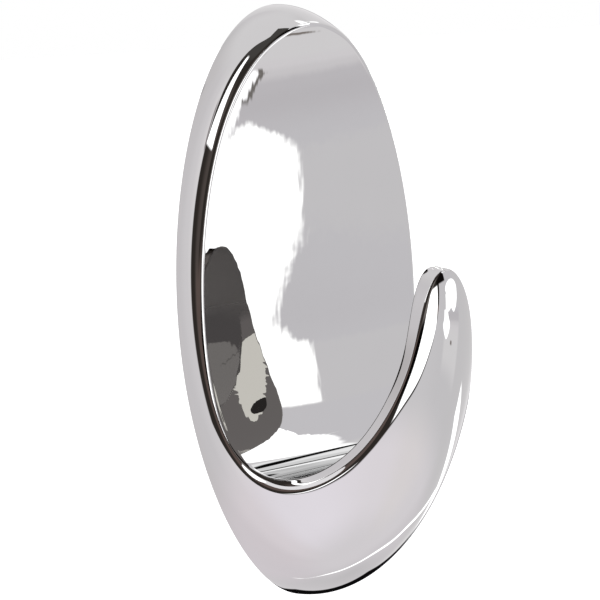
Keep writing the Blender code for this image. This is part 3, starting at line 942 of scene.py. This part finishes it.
def chrome():
    """Bright plating: mirror-like, with the moulding's slight waviness down the plate's face, fine handling marks, and
    painted shade on the surfaces that look back at the wall (the tongue's back): their colour is darkened and warmed
    there, and they are duller above mid-height."""
    made = bpy.data.materials.new("Bright plating")
    made.use_nodes = True
    g = Graph(made.node_tree)
    shader = made.node_tree.nodes["Principled BSDF"]
    shader.inputs["Metallic"].default_value = 1.0
    place = g.add("ShaderNodeTexCoord").outputs["Object"]
    spot = g.add("ShaderNodeSeparateXYZ")
    g.put(spot.inputs[0], place)
    facing = g.add("ShaderNodeSeparateXYZ")
    g.put(facing.inputs[0], g.add("ShaderNodeNewGeometry").outputs["True Normal"])

    # The face of the plate looks forward; the tongue's back looks at the wall.
    face = g.math(
        "MULTIPLY", g.step(facing.outputs[1], -0.90, -0.97), g.step(spot.outputs[1], -0.011, -0.0085)
    )
    shaded_recess = g.math(
        "MULTIPLY", g.step(facing.outputs[1], 0.02, 0.25), g.step(spot.outputs[1], -0.012, -0.017)
    )
    stain = noise(g, place, 160.0, 3.0)
    full = g.math("MULTIPLY_ADD", stain, 0.012, PLATING - 0.006)
    # Painted shade: the plating's colour is darkened to 35 % and warmed a little on the tongue's back, which looks at
    # the wall.
    base = g.math("MULTIPLY", full, g.math("MULTIPLY_ADD", shaded_recess, -0.65, 1.0))
    tone = g.add("ShaderNodeCombineColor")
    g.put(tone.inputs[0], base)
    g.put(tone.inputs[1], g.math("MULTIPLY", base, g.math("MULTIPLY_ADD", shaded_recess, -0.06, 1.0)))
    g.put(tone.inputs[2], g.math("MULTIPLY", base, g.math("MULTIPLY_ADD", shaded_recess, -0.10, 1.002)))
    g.put(shader.inputs["Base Color"], tone.outputs[0])

    # Fine wear: hairlines and faint smears, so small that they only show close to.
    wear = noise(g, stretched(g, place, (900.0, 900.0, 120.0)), 1.0, 4.0, 0.6)
    smear = noise(g, place, 55.0, 2.0)
    dull = g.math("MULTIPLY", g.step(wear, 0.62, 0.80), 0.02)
    matt = g.math("MULTIPLY", g.math("MULTIPLY", shaded_recess, g.step(spot.outputs[2], -0.006, -0.001)), 0.3)
    rough = g.math("ADD", g.math("MULTIPLY_ADD", smear, 0.012, 0.004), dull)
    g.put(shader.inputs["Roughness"], g.math("ADD", rough, matt))

    # Waviness of the face, in upright streaks, and hardly any elsewhere.
    streaks = noise(g, stretched(g, place, (830.0, 600.0, 250.0)), 1.0, 1.0)
    ripple = noise(g, place, 500.0, 1.0)
    waves = g.math("ADD", g.math("MULTIPLY", streaks, 4.0e-6), g.math("MULTIPLY", ripple, 1.6e-6))
    fine = g.math("MULTIPLY", noise(g, place, 1400.0, 1.0), 0.02e-6)
    bump = g.add("ShaderNodeBump")
    bump.inputs["Strength"].default_value = 1.0
    bump.inputs["Distance"].default_value = 1.0
    g.put(bump.inputs["Height"], g.math("MULTIPLY_ADD", waves, face, fine))
    g.put(shader.inputs["Normal"], bump.outputs[0])
    return made


def surface(name, base, rough, tint, rough_span, heights, edge=None, sheen=0.0, coat=0.0):
    """Plastic, foam or film: colour between base and tint by stains, roughness that varies, and a
    bumpy surface from heights, a list of (scale, metres, detail). edge darkens creases a little."""
    made = bpy.data.materials.new(name)
    made.use_nodes = True
    g = Graph(made.node_tree)
    shader = made.node_tree.nodes["Principled BSDF"]
    place = g.add("ShaderNodeTexCoord").outputs["Object"]
    stain = noise(g, place, 240.0, 4.0, 0.6)
    speck = noise(g, place, 2600.0, 2.0, 0.5)
    amount = g.math("MULTIPLY_ADD", g.step(speck, 0.35, 0.7), 0.35, g.math("MULTIPLY", stain, 0.65))
    g.put(shader.inputs["Base Color"], g.mix(amount, (*base, 1.0), (*tint, 1.0)))
    blotch = noise(g, place, 420.0, 3.0)
    g.put(shader.inputs["Roughness"], g.math("MULTIPLY_ADD", blotch, rough_span, rough))
    total = None
    for scale, deep, detail in heights:
        layer = g.math("MULTIPLY", noise(g, place, scale, detail), deep)
        total = layer if total is None else g.math("ADD", total, layer)
    if edge:
        cells = g.add("ShaderNodeTexVoronoi", feature="SMOOTH_F1")
        g.put(cells.inputs["Vector"], place)
        cells.inputs["Scale"].default_value = edge[0]
        total = g.math("ADD", total, g.math("MULTIPLY", cells.outputs["Distance"], edge[1]))
    bump = g.add("ShaderNodeBump")
    bump.inputs["Strength"].default_value = 1.0
    bump.inputs["Distance"].default_value = 1.0
    g.put(bump.inputs["Height"], total)
    g.put(shader.inputs["Normal"], bump.outputs[0])
    shader.inputs["Sheen Weight"].default_value = sheen
    shader.inputs["Coat Weight"].default_value = coat
    return made


def dress(node, made):
    """Gives a CAD node its material."""
    obj = frame["nodes"][node]
    if not obj.material_slots:
        obj.data.materials.append(made)
    for item in obj.material_slots:
        item.material = made


def dress_others():
    """The base and the strip: satin moulded plastic with a fine spark texture, open-celled foam,
    tacky adhesive with picked-up lint, and milky film with a brushed grain."""
    dress("mounting_base", surface(
        "Base plastic", (0.69, 0.69, 0.665), 0.34, (0.64, 0.635, 0.60), 0.16,
        ((3200.0, 6.0e-6, 2.0), (260.0, 1.5e-5, 1.0)),
    ))
    dress("strip_foam", surface(
        "Foam", (0.80, 0.80, 0.77), 0.72, (0.70, 0.69, 0.65), 0.2,
        ((1800.0, 2.0e-5, 3.0),), (2400.0, 5.0e-5), 0.3,
    ))
    for side, tone in (("wall", (0.72, 0.70, 0.60)), ("base", (0.74, 0.72, 0.63))):
        dress("strip_adhesive_" + side, surface(
            "Adhesive " + side, tone, 0.22, tuple(0.9 * c for c in tone), 0.3,
            ((900.0, 2.2e-5, 3.0), (5200.0, 4.0e-6, 1.0)),
        ))
    for side, tone in (("wall", (0.76, 0.80, 0.83)), ("front", (0.78, 0.82, 0.86))):
        dress("tab_film_" + side, surface(
            "Film " + side, tone, 0.16, tuple(0.93 * c for c in tone), 0.14,
            ((140.0, 3.0e-5, 1.0), (4000.0, 2.0e-6, 2.0)), None, 0.0, 0.2,
        ))


scene = bpy.context.scene
scene.view_settings.view_transform = "Standard"
looks = bpy.data.collections.new("Looks")
helpers = bpy.data.collections.new("Helpers")
scene.collection.children.link(looks)
scene.collection.children.link(helpers)

hook = make_hook(looks, helpers)
hook.data.materials.clear()
hook.data.materials.append(chrome())
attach(hook, "hook")
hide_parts("hook_body")
dress_others()
for tool in list(helpers.objects):
    bpy.data.objects.remove(tool, do_unlink=True)
bpy.data.collections.remove(helpers)

studio(scene)
near_lights()
camera(scene)
floor(scene)
